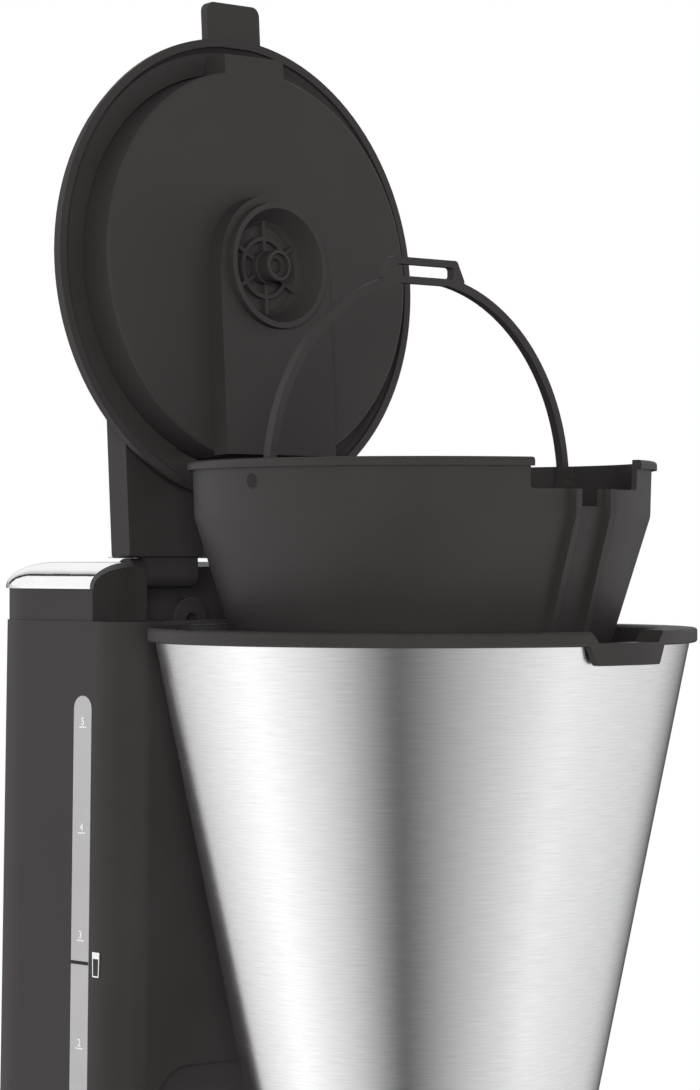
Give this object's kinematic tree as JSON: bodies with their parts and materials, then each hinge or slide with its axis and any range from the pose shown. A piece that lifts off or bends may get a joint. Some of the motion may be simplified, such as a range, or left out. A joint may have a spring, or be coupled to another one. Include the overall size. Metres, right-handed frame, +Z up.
{
  "type": "drip coffee maker",
  "caption": "Drip coffee maker with a brushed steel cone, black tower with water gauge, hinged lid, lift-out filter basket and thermal jug.",
  "frame": {"origin": "middle of the footprint on the surface that the feet stand on", "axes": "+Z up, -Y to the front where the jug is taken out, +X to the user's right when facing the machine"},
  "size_m": [0.14, 0.2104, 0.4607],
  "materials": {
    "black_plastic": "fine moulded satin",
    "chrome": "polished",
    "brushed_steel": "brushed round the axis",
    "clear_gauge": "frosted, translucent",
    "tank_plastic": "natural moulded",
    "rubber": "matt",
    "aluminium": "extruded",
    "fastener_steel": "zinc plated"
  },
  "bodies": {
    "housing": {"base_housing": "black_plastic", "base_plate": "black_plastic", "rubber_feet": "rubber", "base_screws": "fastener_steel", "jug_plate": "brushed_steel", "heater": "aluminium", "inlet_hose": "rubber", "check_valve": "black_plastic", "riser_pipe": "aluminium", "thermostat": "aluminium", "thermal_fuse": "fastener_steel", "switch_body": "black_plastic", "cord_gland": "black_plastic", "tower_shell": "black_plastic", "gauge_window": "clear_gauge", "water_tank": "tank_plastic", "tower_top_band": "black_plastic", "top_cap": "chrome", "hinge_pins": "fastener_steel", "water_nozzle": "black_plastic", "nozzle_seal": "rubber", "steel_cone": "brushed_steel", "cone_collar": "black_plastic", "cone_carrier": "black_plastic", "bracket_screws": "fastener_steel", "cone_bottom": "black_plastic"},
    "lid": {"lid_shell": "black_plastic", "lid_trim": "chrome", "lid_insert": "black_plastic", "spray_head": "black_plastic"},
    "basket": {"filter_basket": "black_plastic", "valve_spring": "fastener_steel"},
    "bail": {"bail_handle": "black_plastic"},
    "valve": {"drip_valve": "black_plastic", "valve_seal": "rubber"},
    "button": {"power_button": "black_plastic"},
    "jug": {"jug_shell": "brushed_steel", "jug_liner": "brushed_steel", "jug_base": "black_plastic", "jug_neck": "black_plastic", "jug_handle": "black_plastic"},
    "jug_cover": {"jug_lid": "black_plastic", "jug_lid_seal": "rubber", "jug_lever_pin": "fastener_steel"},
    "lever": {"jug_lever": "black_plastic"}
  },
  "joints": [
    {"name": "lid_hinge", "type": "hinge", "parent": "housing", "child": "lid", "pos_m": [0, 0.056, 0.307], "axis": [1, 0, 0], "range_deg": [0, 93.3]},
    {"name": "basket_lift", "type": "slide", "parent": "housing", "child": "basket", "axis": [0, 0, 1], "range_m": [-0.046, 0]},
    {"name": "bail_fold", "type": "hinge", "parent": "basket", "child": "bail", "pos_m": [0, -0.0212, 0.33], "axis": [1, 0, 0], "range_deg": [0, 90]},
    {"name": "valve_press", "type": "slide", "parent": "basket", "child": "valve", "axis": [0, 0, 1], "range_m": [0, 0.003], "stiffness_N_per_m": 300, "springref_m": -0.004, "deforming": ["valve_spring"]},
    {"name": "button_press", "type": "slide", "parent": "housing", "child": "button", "axis": [0, 1, 0], "range_m": [0, 0.0015], "stiffness_N_per_m": 600},
    {"name": "jug_slide", "type": "slide", "parent": "housing", "child": "jug", "axis": [0, -1, 0], "range_m": [0, 0.2]},
    {"name": "jug_lid_twist", "type": "hinge", "parent": "jug", "child": "jug_cover", "pos_m": [0, -0.0212, 0.15], "axis": [0, 0, 1], "range_deg": [0, 60]},
    {"name": "lever_press", "type": "hinge", "parent": "jug_cover", "child": "lever", "pos_m": [0, -0.0482, 0.1565], "axis": [1, 0, 0], "range_deg": [0, 8], "stiffness_Nm_per_rad": 0.05}
  ],
  "couplings": [
    {"joint": "basket_lift", "follows": "lid_hinge", "m_per_rad": -0.028249},
    {"joint": "bail_fold", "follows": "lid_hinge", "ratio": 0.96462}
  ]
}
